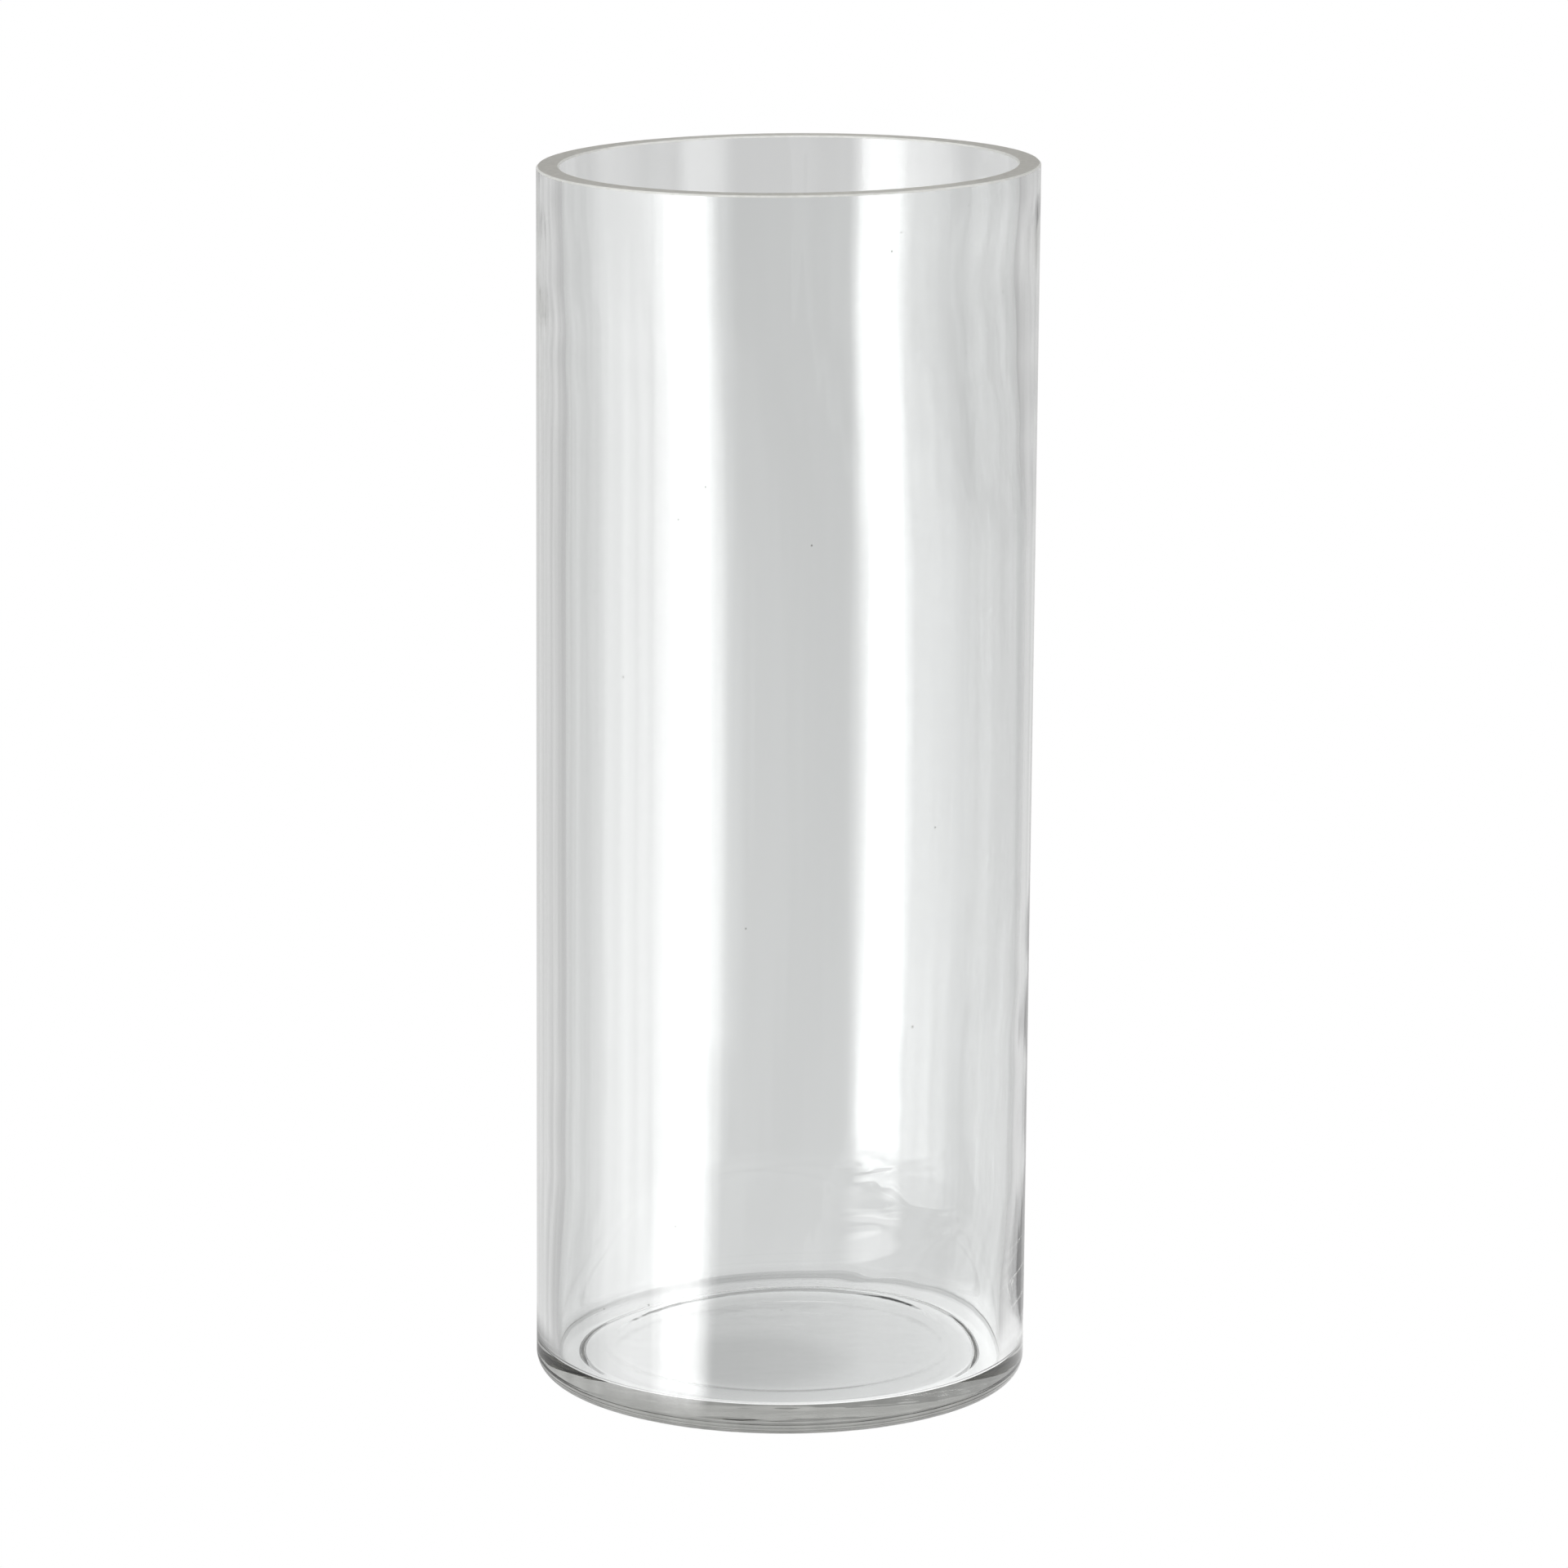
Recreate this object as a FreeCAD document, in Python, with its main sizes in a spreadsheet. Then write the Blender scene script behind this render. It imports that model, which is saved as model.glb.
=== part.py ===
import FreeCAD, Part
import os
import Sketcher

# A straight-sided glass cylinder vase for cut flowers, in millimetres, +Z up.
# The origin is on the vase's axis, at the level of the surface it stands on.
#
# It is two pieces of the same clear glass, fused face to face:
#   vase_wall  the tube, with a flat ground rim whose two corners are taken off
#   vase_base  the pressed bottom: rounded heel, standing ring, hollow underside,
#              and a short upstand with a rounded inside corner that carries the tube
# Both are revolved about the Z axis, so each profile is half of a section.

NAME = "glass_cylinder_vase"
LEVEL = 1e-4

# alias, value in millimetres, what it sets
SIZES = [
    ("outside_diameter", "100", "across the tube and its bottom"),
    ("height", "248.7", "from the surface it stands on to the rim"),
    ("wall", "4.6", "thickness of the tube"),
    ("rim_arris", "0.35", "bevel stoned onto both corners of the rim"),
    ("floor_thickness", "5.8", "from the surface it stands on to the inside floor"),
    ("heel_radius", "3.5", "rounding round the outside of the bottom"),
    ("floor_fillet", "0.9", "rounding between the inside floor and the wall"),
    ("upstand", "1", "straight wall left on the base above its roundings"),
    ("standing_ring", "5.5", "radial width of the flat ring the vase stands on"),
    ("recess_depth", "1", "how far the underside is hollowed"),
    ("recess_slope", "1", "radial width of the slope from ring to recess"),
    ("recess_round", "0.3", "rounding on both corners of that slope"),
    ("mark_diameter", "70", "round dished middle left in the floor by the plunger"),
    ("mark_depth", "0.3", "depth of that dish"),
]

# Lengths that follow from the sizes, as spreadsheet formulas.
DERIVED = [
    ("outer_radius", "outside_diameter / 2", "outside radius of both pieces"),
    ("inner_radius", "outer_radius - wall", "inside radius of the tube and of the upstand"),
    ("seam_level", "max(floor_thickness + floor_fillet; heel_radius) + upstand", "where tube meets base"),
    ("ring_outer", "outer_radius - heel_radius", "outside radius of the standing ring"),
    ("ring_inner", "ring_outer - standing_ring", "inside radius of the standing ring"),
    ("recess_radius", "ring_inner - recess_slope", "radius of the flat of the recess"),
    ("mark_radius", "mark_diameter / 2", "radius of the dished middle"),
]


def size_sheet(doc):
    """Write every size, and what follows from it, in a spreadsheet with named cells."""
    sheet = doc.addObject("Spreadsheet::Sheet", "sizes")
    rows = SIZES + [(alias, "=" + formula, note) for alias, formula, note in DERIVED]
    for row, (alias, content, note) in enumerate(rows, start=1):
        sheet.set("A%d" % row, alias)
        sheet.set("B%d" % row, content)
        sheet.set("C%d" % row, note)
        sheet.setAlias("B%d" % row, alias)
    doc.recompute()
    return sheet


def new_body(doc, name):
    """An empty body that stands on the shared origin, unturned."""
    body = doc.addObject("PartDesign::Body", name)
    body.Label = name
    body.Placement = FreeCAD.Placement()
    return body


def origin_plane(body, role):
    """The body's own origin plane with this role."""
    for feature in body.Origin.OriginFeatures:
        if feature.Role == role:
            return feature
    raise ValueError("no origin plane " + role)


def half_section(body, name, sheet, corners):
    """A closed half section in the XZ plane, each corner held by two named sizes.

    Each corner is (radius alias, level alias); None stands for the axis or for level 0.
    """
    sketch = body.newObject("Sketcher::SketchObject", name)
    sketch.AttachmentSupport = [(origin_plane(body, "XZ_Plane"), "")]
    sketch.MapMode = "FlatFace"
    points = []
    for radius, level in corners:
        x = float(sheet.get(radius)) if radius else 0.0
        z = float(sheet.get(level)) if level else 0.0
        points.append(FreeCAD.Vector(x, z, 0))
    count = len(points)
    for index in range(count):
        sketch.addGeometry(Part.LineSegment(points[index], points[(index + 1) % count]), False)
    for index in range(count):
        sketch.addConstraint(Sketcher.Constraint("Coincident", index, 2, (index + 1) % count, 1))
    for index, (radius, level) in enumerate(corners):
        hold_corner(sketch, index, radius, 0)
        hold_corner(sketch, index, level, 1)
    return sketch


def hold_corner(sketch, index, alias, across):
    """Tie one coordinate of a corner to a named size, or to the axis or level 0."""
    kind = "DistanceY" if across else "DistanceX"
    point = sketch.Geometry[index].StartPoint
    value = point.y if across else point.x
    if alias is None:
        axis = -1 if across else -2
        sketch.addConstraint(Sketcher.Constraint("PointOnObject", index, 1, axis))
        return
    number = sketch.addConstraint(Sketcher.Constraint(kind, -1, 1, index, 1, value))
    sketch.setExpression("Constraints[%d]" % number, "sizes." + alias)


def revolve(body, sketch, name, kind="PartDesign::Revolution"):
    """Turn a half section once round the Z axis."""
    feature = body.newObject(kind, name)
    feature.Profile = sketch
    feature.ReferenceAxis = (sketch, ["V_Axis"])
    feature.Angle = 360.0
    sketch.Visibility = False
    body.Document.recompute()
    return feature


def ring_edges(feature, rings):
    """Names of the circular edges with these radii and levels."""
    names = []
    for number, edge in enumerate(feature.Shape.Edges, start=1):
        curve = edge.Curve
        if not isinstance(curve, Part.Circle):
            continue
        for radius, level in rings:
            same_radius = abs(curve.Radius - radius) < LEVEL
            same_level = abs(curve.Center.z - level) < LEVEL
            if same_radius and same_level:
                names.append("Edge%d" % number)
    if len(names) != len(rings):
        raise ValueError("found %d of %d rings on %s" % (len(names), len(rings), feature.Name))
    return names


def round_edges(body, feature, name, rings, alias):
    """Round these circular edges by a named size."""
    fillet = body.newObject("PartDesign::Fillet", name)
    fillet.Base = (feature, ring_edges(feature, rings))
    fillet.setExpression("Radius", "sizes." + alias)
    body.Document.recompute()
    return fillet


def make_wall(doc, sheet):
    """The straight tube with its ground flat rim."""
    body = new_body(doc, "vase_wall")
    corners = [
        ("inner_radius", "seam_level"),
        ("outer_radius", "seam_level"),
        ("outer_radius", "height"),
        ("inner_radius", "height"),
    ]
    tube = revolve(body, half_section(body, "tube_section", sheet, corners), "tube")
    rim = [(sheet.get("outer_radius"), sheet.get("height")), (sheet.get("inner_radius"), sheet.get("height"))]
    arris = body.newObject("PartDesign::Chamfer", "rim_arrises")
    arris.Base = (tube, ring_edges(tube, rim))
    arris.setExpression("Size", "sizes.rim_arris")
    doc.recompute()
    return body


def make_base(doc, sheet):
    """The pressed bottom, from its standing ring to the upstand under the tube."""
    body = new_body(doc, "vase_base")
    corners = [
        (None, "recess_depth"),
        ("recess_radius", "recess_depth"),
        ("ring_inner", None),
        ("outer_radius", None),
        ("outer_radius", "seam_level"),
        ("inner_radius", "seam_level"),
        ("inner_radius", "floor_thickness"),
        (None, "floor_thickness"),
    ]
    slab = revolve(body, half_section(body, "base_section", sheet, corners), "slab")
    heel = [(sheet.get("outer_radius"), 0.0)]
    slab = round_edges(body, slab, "heel", heel, "heel_radius")
    floor_edge = [(sheet.get("inner_radius"), sheet.get("floor_thickness"))]
    slab = round_edges(body, slab, "inside_corner", floor_edge, "floor_fillet")
    slope = [(sheet.get("recess_radius"), sheet.get("recess_depth")), (sheet.get("ring_inner"), 0.0)]
    slab = round_edges(body, slab, "recess_edges", slope, "recess_round")
    press_mark(body, sheet)
    doc.recompute()
    return body


def press_mark(body, sheet):
    """The shallow round dish that the plunger leaves in the middle of the floor."""
    radius = sheet.get("mark_radius")
    depth = sheet.get("mark_depth")
    floor = sheet.get("floor_thickness")
    sketch = body.newObject("Sketcher::SketchObject", "mark_section")
    sketch.AttachmentSupport = [(origin_plane(body, "XZ_Plane"), "")]
    sketch.MapMode = "FlatFace"
    middle = FreeCAD.Vector(0, floor - depth, 0)
    edge = FreeCAD.Vector(radius, floor, 0)
    above = FreeCAD.Vector(0, floor, 0)
    ball = (radius ** 2 + depth ** 2) / (2 * depth)
    halfway = FreeCAD.Vector(radius / 2, floor - depth + ball - (ball ** 2 - radius ** 2 / 4) ** 0.5, 0)
    sketch.addGeometry(Part.Arc(middle, halfway, edge), False)
    sketch.addGeometry(Part.LineSegment(edge, above), False)
    sketch.addGeometry(Part.LineSegment(above, middle), False)
    sketch.addConstraint(Sketcher.Constraint("Coincident", 0, 2, 1, 1))
    sketch.addConstraint(Sketcher.Constraint("Coincident", 1, 2, 2, 1))
    sketch.addConstraint(Sketcher.Constraint("Coincident", 2, 2, 0, 1))
    sketch.addConstraint(Sketcher.Constraint("PointOnObject", 2, 1, -2))
    sketch.addConstraint(Sketcher.Constraint("PointOnObject", 2, 2, -2))
    sketch.addConstraint(Sketcher.Constraint("PointOnObject", 0, 3, -2))
    sketch.addConstraint(Sketcher.Constraint("Horizontal", 1))
    level = sketch.addConstraint(Sketcher.Constraint("DistanceY", -1, 1, 2, 1, floor))
    sketch.setExpression("Constraints[%d]" % level, "sizes.floor_thickness")
    width = sketch.addConstraint(Sketcher.Constraint("DistanceX", 1, 2, 1, 1, radius))
    sketch.setExpression("Constraints[%d]" % width, "sizes.mark_radius")
    dish = sketch.addConstraint(Sketcher.Constraint("DistanceY", 2, 2, 2, 1, depth))
    sketch.setExpression("Constraints[%d]" % dish, "sizes.mark_depth")
    return revolve(body, sketch, "plunger_mark", "PartDesign::Groove")


def check(doc):
    """Stop if any object failed, or any piece is not one valid closed solid."""
    for item in doc.Objects:
        if "Invalid" in item.State or "Error" in item.State:
            raise ValueError("%s: %s" % (item.Name, item.State))
    for body in doc.findObjects("PartDesign::Body"):
        shape = body.Shape
        if shape.isNull() or not shape.isValid() or len(shape.Solids) != 1:
            raise ValueError(body.Label + " is not one valid solid")


def build():
    doc = FreeCAD.newDocument(NAME)
    sheet = size_sheet(doc)
    pieces = [make_wall(doc, sheet), make_base(doc, sheet)]
    doc.recompute()
    check(doc)
    os.makedirs("parts", exist_ok=True)
    for body in pieces:
        body.Shape.exportStep("parts/%s.step" % body.Label)
        box = body.Shape.BoundBox
        volume = body.Shape.Volume / 1000.0
        print("%s: %.1f cm3, z %.2f to %.2f mm" % (body.Label, volume, box.ZMin, box.ZMax))


build()
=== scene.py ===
# %% [markdown]
# # A glass cylinder vase
# A florist's cylinder: a straight tube of clear soda-lime glass on a thick pressed bottom.
# The CAD model is measured first and this lesson dresses it. Positions come from the CAD boxes,
# so the glass you model here stands exactly where the measured pieces stand.
# We work in metres. The axis of the vase is the world Z axis and its foot is at z = 0.

# %% Load the frame
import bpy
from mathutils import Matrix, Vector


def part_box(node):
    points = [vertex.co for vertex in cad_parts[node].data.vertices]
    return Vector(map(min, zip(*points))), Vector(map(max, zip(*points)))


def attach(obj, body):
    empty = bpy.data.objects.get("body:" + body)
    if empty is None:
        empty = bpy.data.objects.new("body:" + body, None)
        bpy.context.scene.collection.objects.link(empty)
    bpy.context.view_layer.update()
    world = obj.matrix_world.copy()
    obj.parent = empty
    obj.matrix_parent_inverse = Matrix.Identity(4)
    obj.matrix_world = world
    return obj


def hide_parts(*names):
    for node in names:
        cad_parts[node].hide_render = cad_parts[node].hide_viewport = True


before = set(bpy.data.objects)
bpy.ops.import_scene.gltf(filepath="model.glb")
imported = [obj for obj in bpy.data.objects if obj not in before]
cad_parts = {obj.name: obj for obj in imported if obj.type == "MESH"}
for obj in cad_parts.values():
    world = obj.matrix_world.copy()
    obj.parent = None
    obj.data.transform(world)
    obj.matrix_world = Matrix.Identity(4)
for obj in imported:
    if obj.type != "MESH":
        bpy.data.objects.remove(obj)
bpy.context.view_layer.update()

# %% Imports
import math

import bmesh
import bpy
from mathutils import Matrix

# %% [markdown]
# ## Sizes
# The outside comes from the CAD boxes. The section sizes are what a glassmaker would write on
# the drawing: wall, floor, heel, and the hollow under the foot that lets the vase stand on a
# ring instead of rocking on a flat disc.

# %% Outside sizes, read from the CAD pieces
MM = 0.001
wall_low, wall_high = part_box("vase_wall")
HEIGHT = wall_high.z
OUTER = wall_high.x
print("height %.1f mm, outside radius %.1f mm" % (HEIGHT / MM, OUTER / MM))

# %% Section sizes
WALL = 4.6 * MM
FLOOR = 5.8 * MM
INSIDE_CORNER = 0.9 * MM
HEEL = 3.5 * MM
STANDING_RING = 5.5 * MM
RECESS_SLOPE = 1.0 * MM
RECESS = 1.0 * MM
RECESS_ROUND = 0.3 * MM
ARRIS = 0.35 * MM
SIDES = 256
BORE = OUTER - WALL
print("bore radius %.1f mm, floor %.1f mm thick" % (BORE / MM, FLOOR / MM))

# %% [markdown]
# ## Helpers
# Edit mode always opens with nothing selected, so a step only touches what it picks.
# `pick` is the box-select of this lesson: it selects whatever passes a test.


# %% Small helpers for edit mode
def nothing_selected():
    bpy.ops.object.select_all(action="DESELECT")


def edit(kind):
    """Open the active object in edit mode with nothing selected."""
    bpy.ops.object.mode_set(mode="EDIT")
    bpy.ops.mesh.select_mode(type=kind)
    bpy.ops.mesh.select_all(action="DESELECT")


def done():
    bpy.ops.object.mode_set(mode="OBJECT")


def pick(kind, test):
    """Select every face, edge or vertex that passes the test, and say how many there are."""
    form = bmesh.from_edit_mesh(bpy.context.object.data)
    items = {"FACE": form.faces, "EDGE": form.edges, "VERT": form.verts}[kind]
    chosen = [item for item in items if test(item)]
    for item in chosen:
        item.select_set(True)
    form.select_flush_mode()
    bmesh.update_edit_mesh(bpy.context.object.data)
    return len(chosen)


def move(x=0.0, y=0.0, z=0.0):
    bpy.ops.transform.translate(value=(x, y, z))


# %% [markdown]
# ## The outside of the vase
# The real vase is blown into a mould: a gob of glass is pressed on a flat bottom plate, blown
# out against the mould, and cracked off to length. The mould made the outside, so it is true
# all the way up, and one cylinder primitive is enough for it.

# %% Cylinder
nothing_selected()
middle = (0, 0, HEIGHT / 2)
bpy.ops.mesh.primitive_cylinder_add(vertices=SIDES, radius=OUTER, depth=HEIGHT, location=middle)
vase = bpy.context.object
vase.name = "vase_glass"
vase.data.name = "vase_glass"
bpy.ops.object.transform_apply(location=True, rotation=True, scale=True)
print("outside:", SIDES, "sides")

# %% [markdown]
# ## The bore
# Nothing held the inside of the tube while it was blown, so the bore wanders: it drifts to one
# side by a millimetre and a half, and it is tighter about 2 cm under the rim, where the glass
# was thicker when it was cracked off. Thick and thin glass bends what is behind it, and that is
# what tells blown glass from a drawn tube.
# We inset the top face by the wall thickness and extrude it down in short steps. After each
# step the ring is shifted and stretched sideways a little.

# %% How the bore wanders: level, sideways shift, change of half width, all in millimetres
WANDER = [
    (249.0, 0.00, 0.00), (243.0, 0.15, 0.05), (226.0, 0.05, -0.38), (212.0, 0.50, -0.36),
    (195.0, 1.00, -0.12), (172.0, 1.55, 0.40), (132.0, 1.70, 0.45), (102.0, 1.65, 0.45),
    (85.0, 1.50, 0.30), (66.0, 1.25, 0.10), (44.0, 1.05, 0.05), (7.5, 0.00, 0.00), (0.0, 0.00, 0.00),
]
STEP = 2.0 * MM


def wander(level):
    """Shift and change of half width of the bore at this level, eased between two stops."""
    for (high, shift_a, grow_a), (low, shift_b, grow_b) in zip(WANDER, WANDER[1:]):
        if level >= low * MM:
            t = (high * MM - level) / ((high - low) * MM)
            t = t * t * (3 - 2 * t)
            return (shift_a + (shift_b - shift_a) * t) * MM, (grow_a + (grow_b - grow_a) * t) * MM
    return 0.0, 0.0


# %% Push the bore down to the floor
edit("FACE")
pick("FACE", lambda f: f.normal.z > 0.9)
bpy.ops.mesh.inset(thickness=WALL)
steps = round((HEIGHT - FLOOR) / STEP)
level, shift, half_width = HEIGHT, 0.0, BORE
for k in range(1, steps + 1):
    next_level = HEIGHT + (FLOOR - HEIGHT) * k / steps
    next_shift, growth = wander(next_level)
    down = (next_shift - shift, 0, next_level - level)
    bpy.ops.mesh.extrude_region_move(TRANSFORM_OT_translate={"value": down})
    stretch = ((BORE + growth) / half_width, 1, 1)
    bpy.ops.transform.resize(value=stretch, center_override=(next_shift, 0, next_level))
    level, shift, half_width = next_level, next_shift, BORE + growth
done()
print("bore pushed down in", steps, "steps")

# %% [markdown]
# ## The floor inside
# The plunger leaves a dished middle, 70 mm across and only 0.3 mm deep, with a faint raised
# lip round it. Insets make the rings, and small lifts give each ring its level.

# %% Floor rings
DISH_RADIUS = 35.0 * MM
DISH_DEPTH = 0.3 * MM
LIP_HEIGHT = 0.10 * MM
LIP_WIDTH = 1.0 * MM
ACROSS_LIP = [2.5, 1.6, 1.0, 0.5, 0.0, -0.5, -1.0, -1.6, -2.5]
FLOOR_RINGS = [43.5 * MM, 40.0 * MM]
FLOOR_RINGS += [DISH_RADIUS + step * MM for step in ACROSS_LIP]
FLOOR_RINGS += [ring * MM for ring in range(29, 4, -4)]


def floor_level(r):
    """How far the floor is above its flat edge at this radius."""
    dish = -DISH_DEPTH * (1 - (r / DISH_RADIUS) ** 2) if r < DISH_RADIUS else 0.0
    return dish + LIP_HEIGHT * math.exp(-(((r - DISH_RADIUS) / LIP_WIDTH) ** 2))


edit("FACE")
pick("FACE", lambda f: len(f.verts) > 8 and f.calc_center_median().z > 0.5 * FLOOR)
radius = BORE
for ring_radius in FLOOR_RINGS:
    bpy.ops.mesh.inset(thickness=radius - ring_radius)
    move(z=floor_level(ring_radius) - floor_level(radius))
    radius = ring_radius
done()
print(len(FLOOR_RINGS), "floor rings, middle %.2f mm low" % (-floor_level(0) / MM))

# %% [markdown]
# ## The underside
# Two insets draw the standing ring and the slope beside it, and a lift hollows the middle.
# On the real vase the bottom plate of the mould does both at once.

# %% Standing ring and recess
edit("FACE")
pick("FACE", lambda f: f.normal.z < -0.9)
bpy.ops.mesh.inset(thickness=HEEL + STANDING_RING)
bpy.ops.mesh.inset(thickness=RECESS_SLOPE)
move(z=RECESS)
bpy.ops.mesh.inset(thickness=3 * MM)
done()
RING_INNER = OUTER - HEEL - STANDING_RING
print("standing ring from radius %.1f to %.1f mm" % (RING_INNER / MM, (OUTER - HEEL) / MM))

# %% [markdown]
# ## Roundings
# Mould and flame round every corner of the base, so those get many segments. The rim is
# different: it was ground flat on a wheel and both of its sharp corners were stoned off, so
# one segment at 45 degrees is right there.


# %% Bevel the rings
def bevel_ring(radius, level, width, segments):
    """Round off the ring of edges at this radius and level."""
    def on_ring(edge):
        misses = [abs(math.hypot(v.co.x, v.co.y) - radius) + abs(v.co.z - level) for v in edge.verts]
        return max(misses) < 0.05 * MM
    edit("EDGE")
    found = pick("EDGE", on_ring)
    bpy.ops.mesh.bevel(offset=width, segments=segments, profile=0.5, affect="EDGES", clamp_overlap=False)
    done()
    print("bevelled %d edges at radius %.1f mm, level %.1f mm" % (found, radius / MM, level / MM))


bevel_ring(OUTER, 0, HEEL, 16)
bevel_ring(BORE, FLOOR, INSIDE_CORNER, 8)
bevel_ring(RING_INNER, 0, RECESS_ROUND, 4)
bevel_ring(RING_INNER - RECESS_SLOPE, RECESS, RECESS_ROUND, 4)
bevel_ring(OUTER, HEIGHT, ARRIS, 1)
bevel_ring(BORE, HEIGHT, ARRIS, 1)

# %% [markdown]
# ## The ground rim
# The wheel did not take the rim off quite square: one side is a millimetre and a half lower.
# Only the rim's own rings turn, about the high side, so nothing rises above the CAD box.

# %% Tilt the rim
RIM_TILT = math.radians(0.84)
edit("VERT")
turned = pick("VERT", lambda v: v.co.z > HEIGHT - 1.1 * ARRIS)
bpy.ops.transform.rotate(value=RIM_TILT, orient_axis="Y", center_override=(OUTER, 0, HEIGHT - ARRIS))
move(z=-ARRIS * math.sin(RIM_TILT))
done()
print("rim:", turned, "vertices turned, low side %.2f mm down" % (2 * OUTER * math.sin(RIM_TILT) / MM))

# %% [markdown]
# ## Smooth shading
# Glass shows every wrong normal, because it bends light by it. Faces meeting at less than 28
# degrees are shaded smooth, and a Weighted Normal modifier lets the big flat faces keep their
# own direction, so the roundings do not drag the walls with them.

# %% Normals
edit("FACE")
bpy.ops.mesh.select_all(action="SELECT")
bpy.ops.mesh.normals_make_consistent(inside=False)
done()
nothing_selected()
vase.select_set(True)
bpy.context.view_layer.objects.active = vase
bpy.ops.object.shade_smooth_by_angle(angle=math.radians(28))
bpy.ops.object.modifier_add(type="WEIGHTED_NORMAL")
weighted = vase.modifiers[-1]
weighted.keep_sharp = True
bpy.ops.object.modifier_apply(modifier=weighted.name)
print("vase_glass:", len(vase.data.polygons), "faces")

# %% [markdown]
# ## One body of glass
# The CAD keeps tube and base apart, but the real joint has melted away. Two touching solids of
# clear glass would show a false mirror between them, so this one mesh stands in for both.

# %% Take the place of the CAD pieces
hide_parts("vase_wall", "vase_base")
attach(vase, "root")

# %% [markdown]
# ## Colours and nodes
# Colours are written as sRGB hex, the way a colour picker shows them, and turned into linear
# values in one place. `add` makes every node in this lesson: settings go on the node itself,
# and the inputs are plain values, or the nodes and sockets to link from.


# %% Colour and node helpers
def linear(hex_colour):
    """An sRGB hex colour as linear values."""
    def one(c):
        return c / 12.92 if c <= 0.04045 else ((c + 0.055) / 1.055) ** 2.4
    return tuple(one(int(hex_colour[k:k + 2], 16) / 255) for k in (1, 3, 5)) + (1.0,)


def grey(value):
    return (value, value, value, 1.0)


def new_tree(block):
    block.use_nodes = True
    block.node_tree.nodes.clear()
    return block.node_tree


def add(tree, kind, inputs=None, rows=None, **settings):
    """Add a node: settings go on the node, inputs are values, or nodes and sockets to link from.
    For a colour ramp, rows are its (position, colour) stops."""
    node = tree.nodes.new(kind)
    for name, value in settings.items():
        setattr(node, name, value)
    for name, value in (inputs or {}).items():
        if isinstance(value, bpy.types.Node):
            value = next(socket for socket in value.outputs if socket.enabled)
        if isinstance(value, bpy.types.NodeSocket):
            tree.links.new(value, node.inputs[name])
        else:
            node.inputs[name].default_value = value
    for k, (position, colour) in enumerate(rows or []):
        elements = node.color_ramp.elements
        element = elements[k] if k < 2 else elements.new(1.0)
        element.position = position
        element.color = colour
    return node


# %% [markdown]
# ## Clear glass
# Soda-lime glass refracts at 1.52 and its fire-polished skin is perfectly sharp. Its faint
# grey comes from iron and only shows where light travels far, as it does through the base, so
# it belongs in the volume and not in the surface colour.
# Three kinds of unevenness lie in the skin. Draw lines run up the wall, 6 or 7 mm apart. Chill
# marks lie across it low on one side, where the gob touched the cold mould first. The floor is
# faintly rippled where the plunger left it. A few seeds, bubbles under half a millimetre, are
# left from melting.

# %% Sizes of the unevenness: spacing across, deep and up, and depth
IRON_GREY = (0.78, 0.78, 0.76, 1.0)
IRON_DENSITY = 20.0
DRAW_SPACING = (6.7 * MM, 6.7 * MM, 200 * MM)
DRAW_DEPTH = 0.04 * MM
DRAW_FROM, DRAW_TO = 8 * MM, 50 * MM
CHILL_SPACING = (25 * MM, 25 * MM, 8.3 * MM)
CHILL_DEPTH = 0.30 * MM
CHILL_CENTRE = (24 * MM, -42 * MM, 45 * MM)
CHILL_CORE, CHILL_REACH = 10 * MM, 22 * MM
RIPPLE_SPACING = (14 * MM, 9 * MM, 14 * MM)
RIPPLE_DEPTH = 0.10 * MM
SEED_SPACING = 5 * MM
SEED_SIZE = 0.045
SEED_RARITY = 0.955


def per(spacing):
    """Pattern scale, in repeats per metre, for a spacing along each axis."""
    return tuple(1 / step for step in spacing)


print("seeds %.2f mm across" % (2 * SEED_SIZE * SEED_SPACING / MM))

# %% Clear glass material
glass = bpy.data.materials.new("soda_lime_glass")
tree = new_tree(glass)
place = add(tree, "ShaderNodeTexCoord").outputs["Object"]
axes = add(tree, "ShaderNodeSeparateXYZ", {0: place})

long_way = add(tree, "ShaderNodeMapping", {"Vector": place, "Scale": per(DRAW_SPACING)})
draw = add(tree, "ShaderNodeTexNoise", {"Vector": long_way, "Scale": 1.0, "Detail": 2.0})
on_wall = add(tree, "ShaderNodeMapRange", {"Value": axes.outputs["Z"], "From Min": DRAW_FROM,
                                           "From Max": DRAW_TO}, interpolation_type="SMOOTHSTEP")
bump = add(tree, "ShaderNodeBump", {"Height": draw, "Strength": on_wall, "Distance": DRAW_DEPTH})

cross_way = add(tree, "ShaderNodeMapping", {"Vector": place, "Scale": per(CHILL_SPACING)})
chill = add(tree, "ShaderNodeTexNoise", {"Vector": cross_way, "Scale": 1.0, "Detail": 1.0, "Distortion": 0.5})
away = add(tree, "ShaderNodeVectorMath", {0: place, 1: CHILL_CENTRE}, operation="DISTANCE").outputs["Value"]
touched = add(tree, "ShaderNodeMapRange", {"Value": away, "From Min": CHILL_CORE, "From Max": CHILL_REACH,
                                           "To Min": 1.0, "To Max": 0.0}, interpolation_type="SMOOTHSTEP")
bump = add(tree, "ShaderNodeBump", {"Height": chill, "Strength": touched, "Distance": CHILL_DEPTH,
                                    "Normal": bump})

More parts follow.
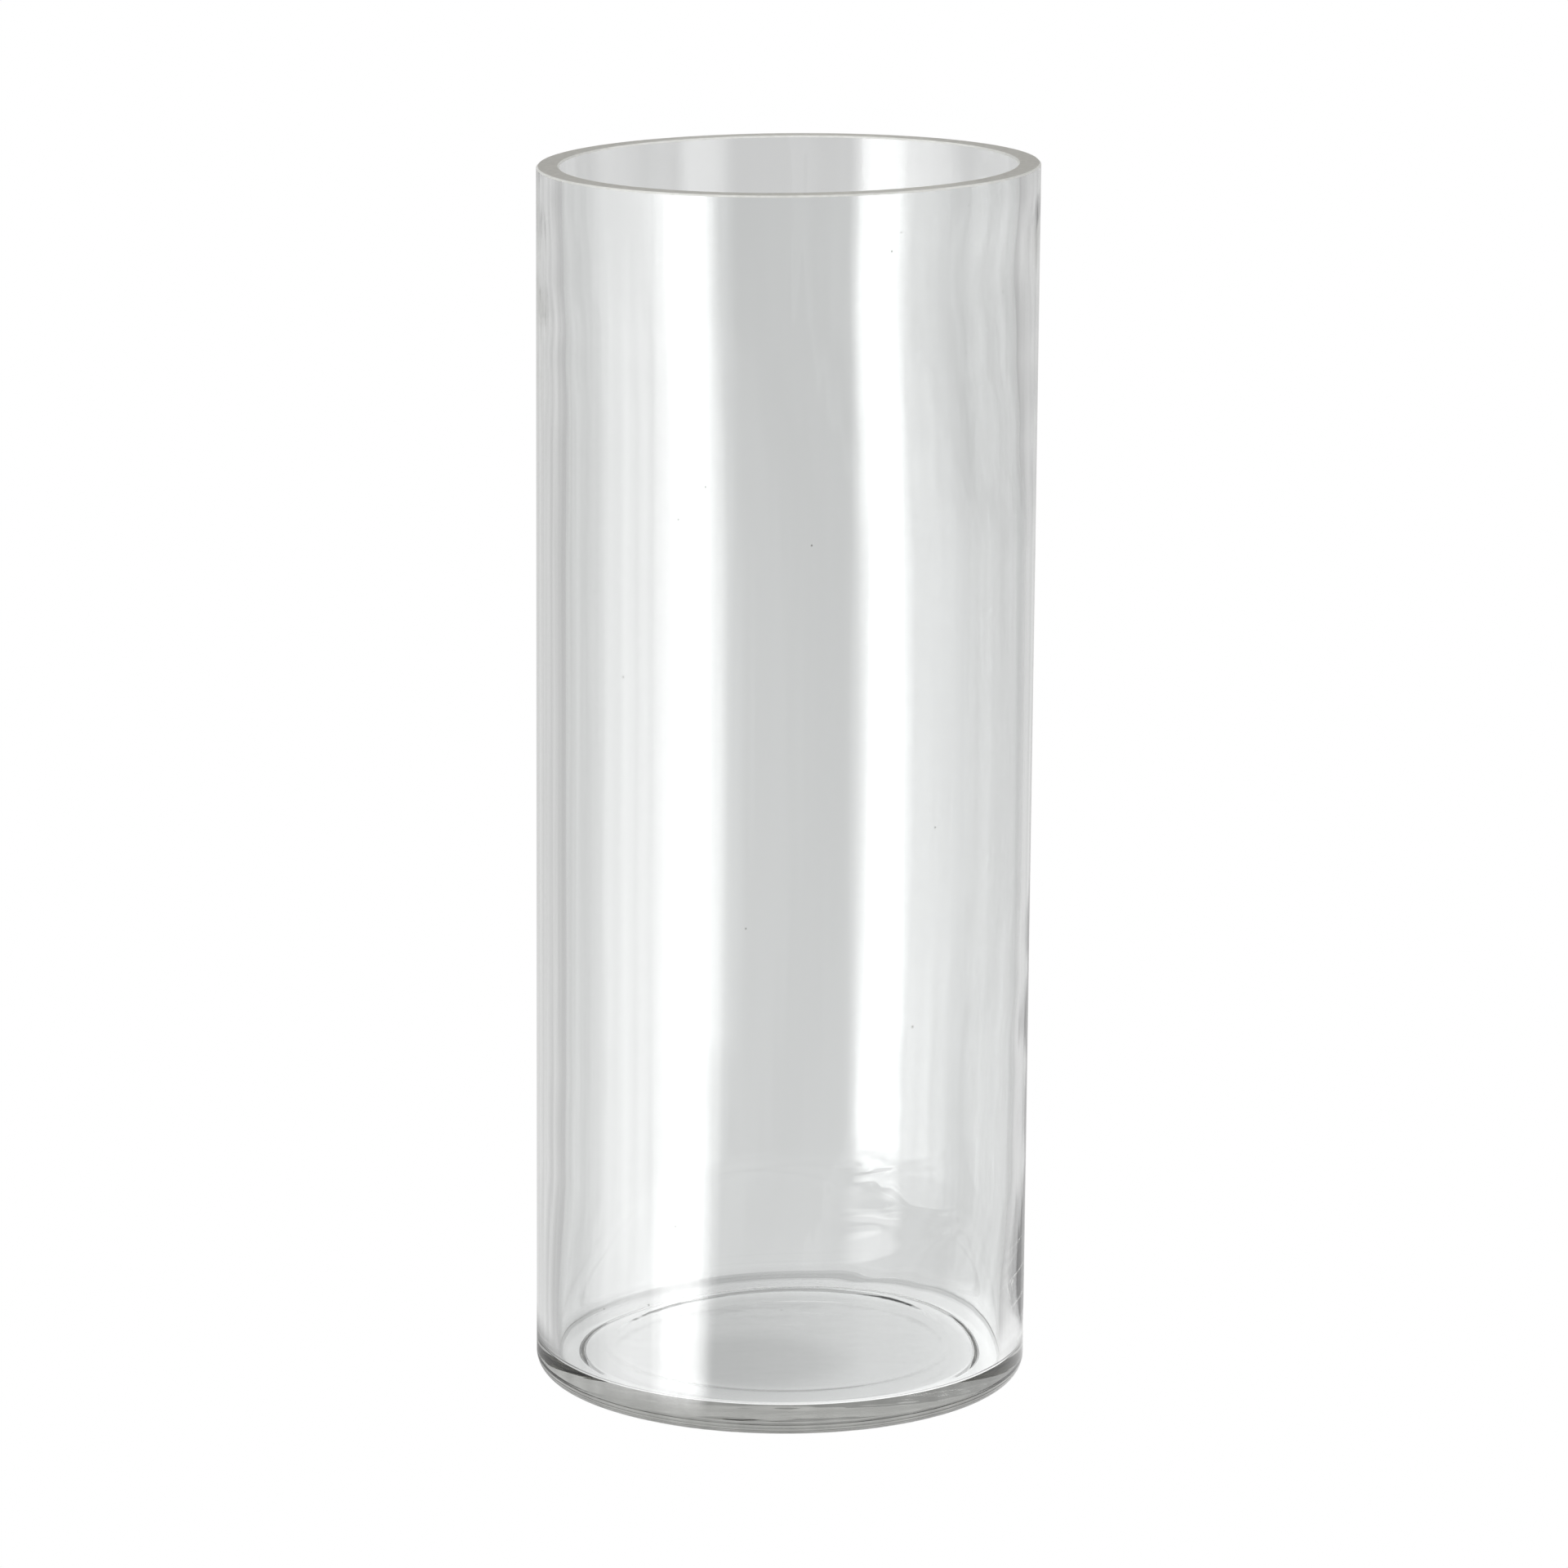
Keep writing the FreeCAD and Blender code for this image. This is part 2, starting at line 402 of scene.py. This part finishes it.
spread_out = add(tree, "ShaderNodeMapping", {"Vector": place, "Scale": per(RIPPLE_SPACING)})
ripple = add(tree, "ShaderNodeTexNoise", {"Vector": spread_out, "Scale": 1.0, "Detail": 2.0})
from_middle = add(tree, "ShaderNodeVectorMath", {0: place, 1: (0, 0, FLOOR)}, operation="DISTANCE")
on_floor = add(tree, "ShaderNodeMapRange", {"Value": from_middle.outputs["Value"], "From Min": 30 * MM,
                                            "From Max": 42 * MM, "To Min": 1.0, "To Max": 0.0},
               interpolation_type="SMOOTHSTEP")
above = add(tree, "ShaderNodeMath", {0: axes.outputs["Z"], 1: 0.5 * FLOOR}, operation="GREATER_THAN")
on_floor = add(tree, "ShaderNodeMath", {0: on_floor, 1: above}, operation="MULTIPLY")
bump = add(tree, "ShaderNodeBump", {"Height": ripple, "Strength": on_floor, "Distance": RIPPLE_DEPTH,
                                    "Normal": bump})

seeds = add(tree, "ShaderNodeTexVoronoi", {"Vector": place, "Scale": 1 / SEED_SPACING})
chance = add(tree, "ShaderNodeSeparateColor", {"Color": seeds.outputs["Color"]})
near = add(tree, "ShaderNodeMath", {0: seeds.outputs["Distance"], 1: SEED_SIZE}, operation="LESS_THAN")
rare = add(tree, "ShaderNodeMath", {0: chance.outputs["Red"], 1: SEED_RARITY}, operation="GREATER_THAN")
seed = add(tree, "ShaderNodeMath", {0: near, 1: rare}, operation="MULTIPLY")
tint = add(tree, "ShaderNodeMix", {"Factor": seed, "A": linear("#FCFDFD"), "B": linear("#8A8A86")},
           data_type="RGBA")

shader = add(tree, "ShaderNodeBsdfPrincipled", {
    "Base Color": tint, "Roughness": 0.0, "IOR": 1.52, "Transmission Weight": 1.0, "Normal": bump})
volume = add(tree, "ShaderNodeVolumeAbsorption", {"Color": IRON_GREY, "Density": IRON_DENSITY})
add(tree, "ShaderNodeOutputMaterial", {"Surface": shader, "Volume": volume})
vase.data.materials.append(glass)
print("soda_lime_glass:", len(tree.nodes), "nodes")

# %% [markdown]
# ## Ground glass
# A wheel with fine grit leaves the rim white and satin: millions of little pits scatter the
# light, so it is half clear, half white, and rough. The stoned arrises beside it are the same
# satin finish, but their colour is painted lighter as a painted highlight, which draws them as two thin
# bright lines.


# %% Ground materials on the rim
GRIT_SPACING = 1.1 * MM
GRIT_DEPTH = 0.02 * MM


def ground_glass(name, dark, light, clear):
    """Satin glass with grit in tone and relief, drawn coarser than the real 0.1 mm so that it shows."""
    material = bpy.data.materials.new(name)
    tree = new_tree(material)
    place = add(tree, "ShaderNodeTexCoord").outputs["Object"]
    grit = add(tree, "ShaderNodeTexNoise", {"Vector": place, "Scale": 1 / GRIT_SPACING, "Detail": 3.0})
    tone = add(tree, "ShaderNodeValToRGB", {"Fac": grit}, rows=[(0.25, linear(dark)), (0.75, linear(light))])
    relief = add(tree, "ShaderNodeBump", {"Height": grit, "Strength": 0.3, "Distance": GRIT_DEPTH})
    shader = add(tree, "ShaderNodeBsdfPrincipled", {
        "Base Color": tone, "Roughness": 0.5, "IOR": 1.52, "Transmission Weight": clear, "Normal": relief})
    volume = add(tree, "ShaderNodeVolumeAbsorption", {"Color": IRON_GREY, "Density": IRON_DENSITY})
    add(tree, "ShaderNodeOutputMaterial", {"Surface": shader, "Volume": volume})
    return material


RIM_SLOT, ARRIS_SLOT = 1, 2
vase.data.materials.append(ground_glass("ground_glass", "#B4B2AA", "#CDCBC4", 0.55))
# The arris colours are the rim's satin finish painted lighter: a painted highlight for the two bright arris
# lines.
vase.data.materials.append(ground_glass("stoned_arris_painted_highlight", "#D6D6D1", "#E8E8E4", 0.40))
for face in vase.data.polygons:
    if face.normal.z > 0.5 and face.center.z > 0.9 * HEIGHT:
        face.material_index = RIM_SLOT if face.normal.z > 0.9 else ARRIS_SLOT
for slot in (RIM_SLOT, ARRIS_SLOT):
    count = sum(face.material_index == slot for face in vase.data.polygons)
    print(vase.data.materials[slot].name, count, "faces")

# %% [markdown]
# ## The stage
# Clear glass has no look of its own: it only shows what is round it. So the stage is made in
# two layers. The camera sees a plain white floor and backdrop. The glass itself sees the room:
# the light that comes up from the table under it, and the studio all round.

# %% The white floor
nothing_selected()
bpy.ops.mesh.primitive_plane_add(size=8, location=(0, 0, 0))
floor = bpy.context.object
floor.name = "floor"
white = bpy.data.materials.new("floor_white")
tree = new_tree(white)
glow = add(tree, "ShaderNodeEmission", {"Color": grey(1.0)})
add(tree, "ShaderNodeOutputMaterial", {"Surface": glow})
floor.data.materials.append(white)
floor.visible_glossy = False
floor.visible_transmission = False
floor.visible_diffuse = False
floor.visible_shadow = False
print("floor: 8 m square")

# %% [markdown]
# ## The table under the vase
# A disc just under the foot carries the light that the table throws up into the glass. It is
# brightest under the standing ring, where the base gathers light, dim in the vase's own shadow
# outside the heel, and fades out before it reaches the wall's view of the room. A soft darker
# patch a little off the middle is painted shadow, and the disc is painted brighter towards the
# right, as light falling from that side.

# %% Table disc: radius in millimetres and brightness
TABLE_TONES = [(0, 0.73), (16, 0.73), (21, 0.74), (30, 0.76), (38, 0.79), (42, 0.97), (46.5, 0.97),
               (48, 0.47), (52, 0.42), (58, 0.52), (66, 0.61), (80, 0.62)]
UNDER_RADIUS = 80 * MM
UNDER_LEVEL = -0.2 * MM
# Painted shadow: a soft darker patch a little off the middle. Painted light: the row from left to right makes
# the disc brighter towards the right.
SHADOW_CENTRE = (-6 * MM, -8 * MM, 0)
SHADOW_DIM = 0.84
LIGHT_LEFT_TO_RIGHT = [(-10, 0.97), (25, 1.25), (40, 1.33), (50, 2.0)]
nothing_selected()
bpy.ops.mesh.primitive_circle_add(vertices=96, radius=UNDER_RADIUS, fill_type="NGON")
move(z=UNDER_LEVEL)
under = bpy.context.object
under.name = "table_under"
shade = bpy.data.materials.new("table_shade")
tree = new_tree(shade)
place = add(tree, "ShaderNodeTexCoord").outputs["Object"]
axes = add(tree, "ShaderNodeSeparateXYZ", {0: place})
reach = add(tree, "ShaderNodeVectorMath", {0: place}, operation="LENGTH").outputs["Value"]
spread = add(tree, "ShaderNodeMapRange", {"Value": reach, "From Max": UNDER_RADIUS})
tone = add(tree, "ShaderNodeValToRGB", {"Fac": spread},
           rows=[(r * MM / UNDER_RADIUS, grey(v)) for r, v in TABLE_TONES])
# Painted shadow: the disc dims towards the soft patch a little off the middle.
away = add(tree, "ShaderNodeVectorMath", {0: place, 1: SHADOW_CENTRE}, operation="DISTANCE").outputs["Value"]
painted_shadow = add(tree, "ShaderNodeMapRange", {"Value": away, "From Min": 12 * MM, "From Max": 25 * MM,
                                        "To Min": SHADOW_DIM, "To Max": 1.0}, interpolation_type="SMOOTHSTEP")
# Painted light: the disc grows brighter towards the right, as light falling from that side.
across = add(tree, "ShaderNodeMapRange", {"Value": axes.outputs["X"], "From Min": -OUTER, "From Max": OUTER})
side = add(tree, "ShaderNodeValToRGB", {"Fac": across},
           rows=[((x * MM + OUTER) / (2 * OUTER), grey(v)) for x, v in LIGHT_LEFT_TO_RIGHT])
strength = add(tree, "ShaderNodeMath", {0: painted_shadow, 1: side}, operation="MULTIPLY")
glow = add(tree, "ShaderNodeEmission", {"Color": tone, "Strength": strength})
clear = add(tree, "ShaderNodeBsdfTransparent")
gone = add(tree, "ShaderNodeMapRange", {"Value": reach, "From Min": 58 * MM, "From Max": 74 * MM},
           interpolation_type="SMOOTHSTEP")
mixed = add(tree, "ShaderNodeMixShader", {0: gone, 1: glow, 2: clear})
add(tree, "ShaderNodeOutputMaterial", {"Surface": mixed})
under.data.materials.append(shade)
under.visible_camera = False
under.visible_diffuse = False
under.visible_shadow = False
print("table disc: radius %.0f mm" % (UNDER_RADIUS / MM))

# %% [markdown]
# ## The studio
# Glass is lit by what it can mirror. A tall key softbox stands in front on the left and its
# light spills along the side wall. A weaker fill softbox stands in front on the right. The rest
# of the room is dimmer, and grey paper hangs behind. Two narrow flags stand before the paper:
# they draw the darker line along each edge of the bore, which keeps clear glass from vanishing
# into a pale background. The room is never black: seen from behind, the glass shows it, and a
# black room would make clear glass look like smoked glass.
# A bearing says where a thing stands: 0 degrees is the side of the camera, 90 its left.

# %% What stands round the vase: four bearings, where it starts, is full, stops being full and ends
KEY_SOFTBOX = (31, 43, 56, 72)
KEY_SPILL = (50, 60, 64, 125)
FILL_SOFTBOX = (-62, -50, -40, -23)
PAPER_FROM, PAPER_FULL = 65, 110
FLAG_MIDDLE, FLAG_HALF, FLAG_EDGE = 138, 3, 8

# %% How bright it is, the white backdrop being 1
KEY = 5.8
SPILL = 3.2
FILL = 2.6
FILL_FOOT = 0.5
ROOM = 0.38
PAPER = 0.65
FLAG = 0.75
CEILING_LEFT, CEILING_RIGHT = 0.42, 0.75
TOP_LIGHT = 1.7
TABLE_FAR = 0.40
LOW_GAIN, HIGH_GAIN = 1.165, 0.99

# %% Bearing and slope of every direction
world = bpy.data.worlds.new("studio")
bpy.context.scene.world = world
tree = new_tree(world)
place = add(tree, "ShaderNodeTexCoord")
axes = add(tree, "ShaderNodeSeparateXYZ", {0: place.outputs["Generated"]})
slope = axes.outputs["Z"]
left = add(tree, "ShaderNodeMath", {0: axes.outputs["X"], 1: -1.0}, operation="MULTIPLY")
near_side = add(tree, "ShaderNodeMath", {0: axes.outputs["Y"], 1: -1.0}, operation="MULTIPLY")
bearing = add(tree, "ShaderNodeMath", {0: left, 1: near_side}, operation="ARCTAN2")
bearing = add(tree, "ShaderNodeMath", {0: bearing}, operation="DEGREES")
turned_away = add(tree, "ShaderNodeMath", {0: bearing}, operation="ABSOLUTE")


def softbox(start, full, fade, end):
    """A soft-edged strip of the ring, 0 outside and 1 in the middle."""
    rise = add(tree, "ShaderNodeMapRange", {"Value": bearing, "From Min": start, "From Max": full},
               interpolation_type="SMOOTHSTEP")
    fall = add(tree, "ShaderNodeMapRange", {"Value": bearing, "From Min": fade, "From Max": end,
                                            "To Min": 1.0, "To Max": 0.0}, interpolation_type="SMOOTHSTEP")
    return add(tree, "ShaderNodeMath", {0: rise, 1: fall}, operation="MULTIPLY")


# %% Paper behind, with a flag on each side
paper = add(tree, "ShaderNodeMapRange", {"Value": turned_away, "From Min": PAPER_FROM, "From Max": PAPER_FULL,
                                         "To Min": ROOM, "To Max": PAPER}, interpolation_type="SMOOTHSTEP")
off_flag = add(tree, "ShaderNodeMath", {0: turned_away, 1: FLAG_MIDDLE}, operation="SUBTRACT")
off_flag = add(tree, "ShaderNodeMath", {0: off_flag}, operation="ABSOLUTE")
flag = add(tree, "ShaderNodeMapRange", {"Value": off_flag, "From Min": FLAG_HALF, "From Max": FLAG_EDGE,
                                        "To Min": FLAG, "To Max": 1.0}, interpolation_type="SMOOTHSTEP")
room = add(tree, "ShaderNodeMath", {0: paper, 1: flag}, operation="MULTIPLY")

# %% Softboxes in front; the fill one ends a little above the table
fill_height = add(tree, "ShaderNodeMapRange", {"Value": slope, "From Min": -0.290, "From Max": -0.268,
                                               "To Min": FILL_FOOT, "To Max": FILL},
                  interpolation_type="SMOOTHSTEP")
for strip, brightness in ((KEY_SOFTBOX, KEY), (KEY_SPILL, SPILL), (FILL_SOFTBOX, fill_height)):
    lit = add(tree, "ShaderNodeMath", {0: softbox(*strip), 1: brightness}, operation="MULTIPLY")
    room = add(tree, "ShaderNodeMath", {0: room, 1: lit}, operation="MAXIMUM")

# %% [markdown]
# The ring is stacked with what lies above and below it. Each layer takes over at its own slope,
# which is the height of the direction: -1 straight down, 0 level, 1 straight up.

# %% Table, ring, ceiling and top light
ceiling = add(tree, "ShaderNodeMapRange", {"Value": axes.outputs["X"], "From Min": 0.0, "From Max": 1.0,
                                           "To Min": CEILING_LEFT, "To Max": CEILING_RIGHT})
overhead = add(tree, "ShaderNodeMapRange", {"Value": slope, "From Min": 0.40, "From Max": 0.75},
               interpolation_type="SMOOTHSTEP")
dome = add(tree, "ShaderNodeMix", {"Factor": overhead, "A": ceiling, "B": TOP_LIGHT})
ring_top = add(tree, "ShaderNodeMapRange", {"Value": slope, "From Min": -0.02, "From Max": 0.20},
               interpolation_type="SMOOTHSTEP")
room = add(tree, "ShaderNodeMix", {"Factor": ring_top, "A": room, "B": dome})
table_top = add(tree, "ShaderNodeMapRange", {"Value": slope, "From Min": -0.75, "From Max": -0.45},
                interpolation_type="SMOOTHSTEP")
room = add(tree, "ShaderNodeMix", {"Factor": table_top, "A": TABLE_FAR, "B": room})

turns = add(tree, "ShaderNodeMath", {0: bearing}, operation="RADIANS")
folds = add(tree, "ShaderNodeTexNoise", {"W": turns, "Scale": 10.0, "Detail": 3.0}, noise_dimensions="1D")
folds = add(tree, "ShaderNodeMapRange", {"Value": folds, "From Min": 0.3, "From Max": 0.7,
                                         "To Min": 0.9, "To Max": 1.1})
gain = add(tree, "ShaderNodeMapRange", {"Value": slope, "From Min": -0.30, "From Max": -0.10,
                                        "To Min": LOW_GAIN, "To Max": HIGH_GAIN})
strength = add(tree, "ShaderNodeMath", {0: gain, 1: folds}, operation="MULTIPLY")
studio = add(tree, "ShaderNodeBackground", {"Color": room, "Strength": strength})
plain = add(tree, "ShaderNodeBackground", {"Color": grey(1.0)})
path = add(tree, "ShaderNodeLightPath")
seen = add(tree, "ShaderNodeMixShader", {0: path.outputs["Is Camera Ray"], 1: studio, 2: plain})
add(tree, "ShaderNodeOutputWorld", {"Surface": seen})
print("studio: two softboxes, paper and two flags,", len(tree.nodes), "nodes")

# %% [markdown]
# ## Light paths
# A ray through the base can turn many times before it leaves. With too few bounces it stops
# inside and the base goes black, so the limits are raised. The plain Standard view keeps the
# white backdrop white.

# %% Bounces and view
scene = bpy.context.scene
scene.view_settings.view_transform = "Standard"
scene.cycles.max_bounces = 24
scene.cycles.transmission_bounces = 24
scene.cycles.glossy_bounces = 16
print("up to", scene.cycles.max_bounces, "bounces")

# %% [markdown]
# ## The camera
# A long lens from 1.3 m, a little above the rim and tipped down, shows the mouth as a slim oval
# and the floor through the wall.

# %% Camera
DISTANCE = 1.307
EYE_LEVEL = 0.4109
TIPPED_DOWN = math.radians(12.46)
ROLL = math.radians(0.424)
bpy.ops.object.camera_add(location=(0, -DISTANCE, EYE_LEVEL))
camera = bpy.context.object
camera.name = "camera"
stand = Matrix.Translation((0, -DISTANCE, EYE_LEVEL))
tip = Matrix.Rotation(math.pi / 2 - TIPPED_DOWN, 4, "X")
camera.matrix_world = stand @ tip @ Matrix.Rotation(ROLL, 4, "Z")
camera.data.lens = 152.1
camera.data.sensor_width = 36
scene.camera = camera
print("camera %.2f m away, lens %.0f mm" % (DISTANCE, camera.data.lens))
